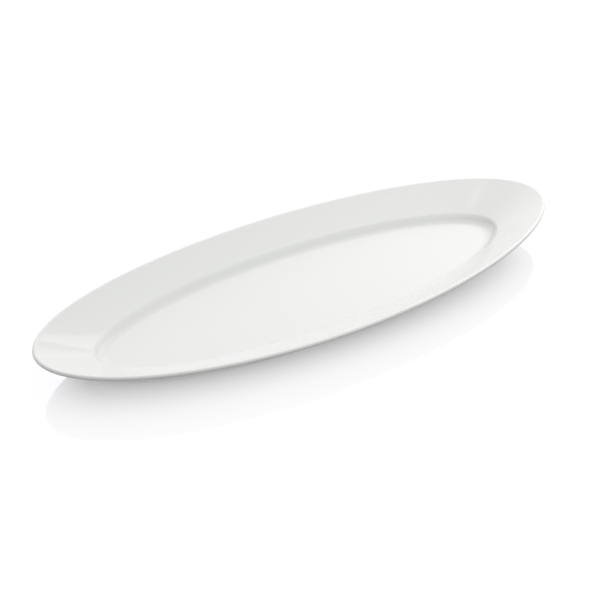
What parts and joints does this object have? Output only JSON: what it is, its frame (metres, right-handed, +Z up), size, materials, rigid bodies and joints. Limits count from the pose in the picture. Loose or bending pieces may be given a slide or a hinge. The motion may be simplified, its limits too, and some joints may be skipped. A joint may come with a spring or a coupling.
{
  "type": "oval serving platter",
  "caption": "Long oval serving platter of white glazed porcelain, with a flat well, a wide sloping rim that climbs towards both ends, and a bare foot ring.",
  "frame": {"origin": "on the table plane under the middle of the platter", "axes": "+Z up from the table, +X along the platter's length, +Y across it"},
  "size_m": [0.6, 0.2094, 0.0474],
  "materials": {
    "porcelain_body": "fired hard-paste porcelain, unglazed and ground smooth where the foot ring is bare",
    "upper_glaze": "clear high-gloss glaze over white porcelain",
    "base_glaze": "clear glaze over white porcelain, a little less smooth than the upper coat"
  },
  "bodies": {
    "root": {"porcelain_body": "porcelain_body", "upper_glaze_coat": "upper_glaze", "base_glaze_coat": "base_glaze"}
  },
  "joints": []
}
